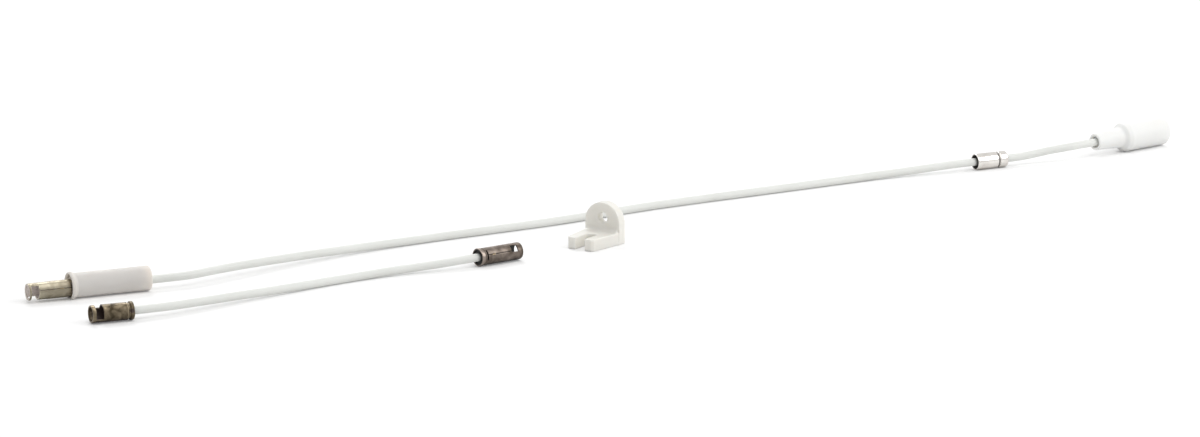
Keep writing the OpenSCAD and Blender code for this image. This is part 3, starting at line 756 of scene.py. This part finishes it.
def makeBoot(s):
    root, mouth = s["start"] + s["neckLength"], s["start"] + s["length"]
    body = root + s["shoulder"]
    outline = filleted([
        (s["start"] + s["funnelDepth"], s["neckBore"], 0.8), (s["start"], s["funnel"], 0.2),
        (s["start"], s["neck"], s["edge"]), (root, s["neckRoot"], 2.4),
        (root + s["shoulderRun"], s["radius"] - s["shoulderIn"], 1.4), (body, s["radius"], 1.6),
        (mouth, s["radius"], s["edge"]), (mouth, s["cavity"], 0.4), (s["cavityAt"], s["cavity"], 0.3),
        (s["cavityAt"], s["neckBore"], 0.2)], s["arcSteps"])
    boot = turnPiece("boot", outline, bootPlace, finishes["boot"], s["sides"])
    settle(boot, "boot", "silicone_boot", "boot")


makeBoot(bootSet)
print("sleeve, ferrule and boot turned")

# guide bracket, moulded with soft edges over its solid
bracketSet = {"voxel": 0.28, "softness": 0.5, "rounds": 6, "weld": 1e-6, "sharp": 180.0}


def makeBracket(s):
    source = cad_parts["guide_bracket"].data
    bm = bmesh.new()
    bm.from_mesh(source)
    bmesh.ops.remove_doubles(bm, verts=bm.verts, dist=s["weld"])
    mesh = bpy.data.meshes.new("guideBracket")
    bm.to_mesh(mesh)
    bm.free()
    mesh.materials.append(finishes["bracket"])
    bracket = bpy.data.objects.new("guideBracket", mesh)
    scene.collection.objects.link(bracket)
    remesh = bracket.modifiers.new("mould", "REMESH")
    remesh.mode, remesh.voxel_size, remesh.use_smooth_shade = "VOXEL", s["voxel"] * mm, True
    soft = bracket.modifiers.new("softEdges", "SMOOTH")
    soft.factor, soft.iterations = s["softness"], s["rounds"]
    bakeModifiers(bracket, s["sharp"])
    settle(bracket, "guide_bracket", "bracket_white", "guide_bracket")


makeBracket(bracketSet)
print("bracket moulded")

# floor, world and lamps; each lamp has its power, size, azimuth, elevation and distance
studioSet = {"floor": 6.0, "floorColour": (0.86, 0.86, 0.86), "floorRough": 0.9, "floorShine": 0.1,
             "floorDrop": 0.00005, "lift": 0.12, "ambient": 0.55, "mirrored": 0.6,
             "lamps": {"keyLamp": (16.5, 1.5, 48.0, 35.0, 2.2),
                       "topLamp": (34.0, 2.6, 12.0, 78.0, 3.5),
                       "backLamp": (26.0, 1.2, 165.0, 45.0, 3.0)}}


def makeTable(s):
    half = s["floor"]
    mesh = bpy.data.meshes.new("tableTop")
    mesh.from_pydata([(-half, -half, 0), (half, -half, 0), (half, half, 0), (-half, half, 0)], [], [(0, 1, 2, 3)])
    table = bpy.data.objects.new("tableTop", mesh)
    scene.collection.objects.link(table)
    table.location.z = -s["floorDrop"]
    mat, tree, skin = newMaterial("paleTable")
    skin.inputs["Base Color"].default_value = (*s["floorColour"], 1)
    skin.inputs["Roughness"].default_value = s["floorRough"]
    skin.inputs["Specular IOR Level"].default_value = s["floorShine"]
    seen = addNode(tree, "ShaderNodeLightPath")
    lift = addNode(tree, "ShaderNodeMath", {0: seen.outputs["Is Camera Ray"]}, {1: s["lift"]}, operation="MULTIPLY")
    skin.inputs["Emission Strength"].default_value = 1.0
    tree.links.new(lift.outputs[0], skin.inputs["Emission Color"])
    mesh.materials.append(mat)


# white where the camera looks, dimmer in mirror images and as a source of light
def makeWorld(s):
    world = bpy.data.worlds.new("studioWorld")
    scene.world = world
    world.use_nodes = True
    tree = world.node_tree
    tree.nodes.clear()
    out = tree.nodes.new("ShaderNodeOutputWorld")
    seen = addNode(tree, "ShaderNodeLightPath")
    mirrored = addNode(tree, "ShaderNodeMath", {0: seen.outputs["Is Glossy Ray"]}, {1: s["mirrored"]},
                       operation="MULTIPLY")
    shown = addNode(tree, "ShaderNodeMath", {0: seen.outputs["Is Camera Ray"], 1: mirrored.outputs[0]},
                    operation="MAXIMUM")
    level = addNode(tree, "ShaderNodeMapRange", {"Value": shown.outputs[0]}, {"To Min": s["ambient"], "To Max": 1.0})
    backdrop = addNode(tree, "ShaderNodeBackground", {"Color": level.outputs[0]})
    tree.links.new(backdrop.outputs[0], out.inputs[0])


def makeLamp(name, power, size, azimuth, elevation, distance):
    data = bpy.data.lights.new(name, "AREA")
    data.energy, data.size = power, size
    lamp = bpy.data.objects.new(name, data)
    scene.collection.objects.link(lamp)
    away = outward(azimuth, elevation)
    lamp.location = away * distance
    lamp.rotation_mode = "QUATERNION"
    lamp.rotation_quaternion = away.to_track_quat("Z", "Y")


makeTable(studioSet)
makeWorld(studioSet)
for lampName, lampValues in studioSet["lamps"].items():
    makeLamp(lampName, *lampValues)
scene.view_settings.view_transform = "Standard"
print("studio lit")
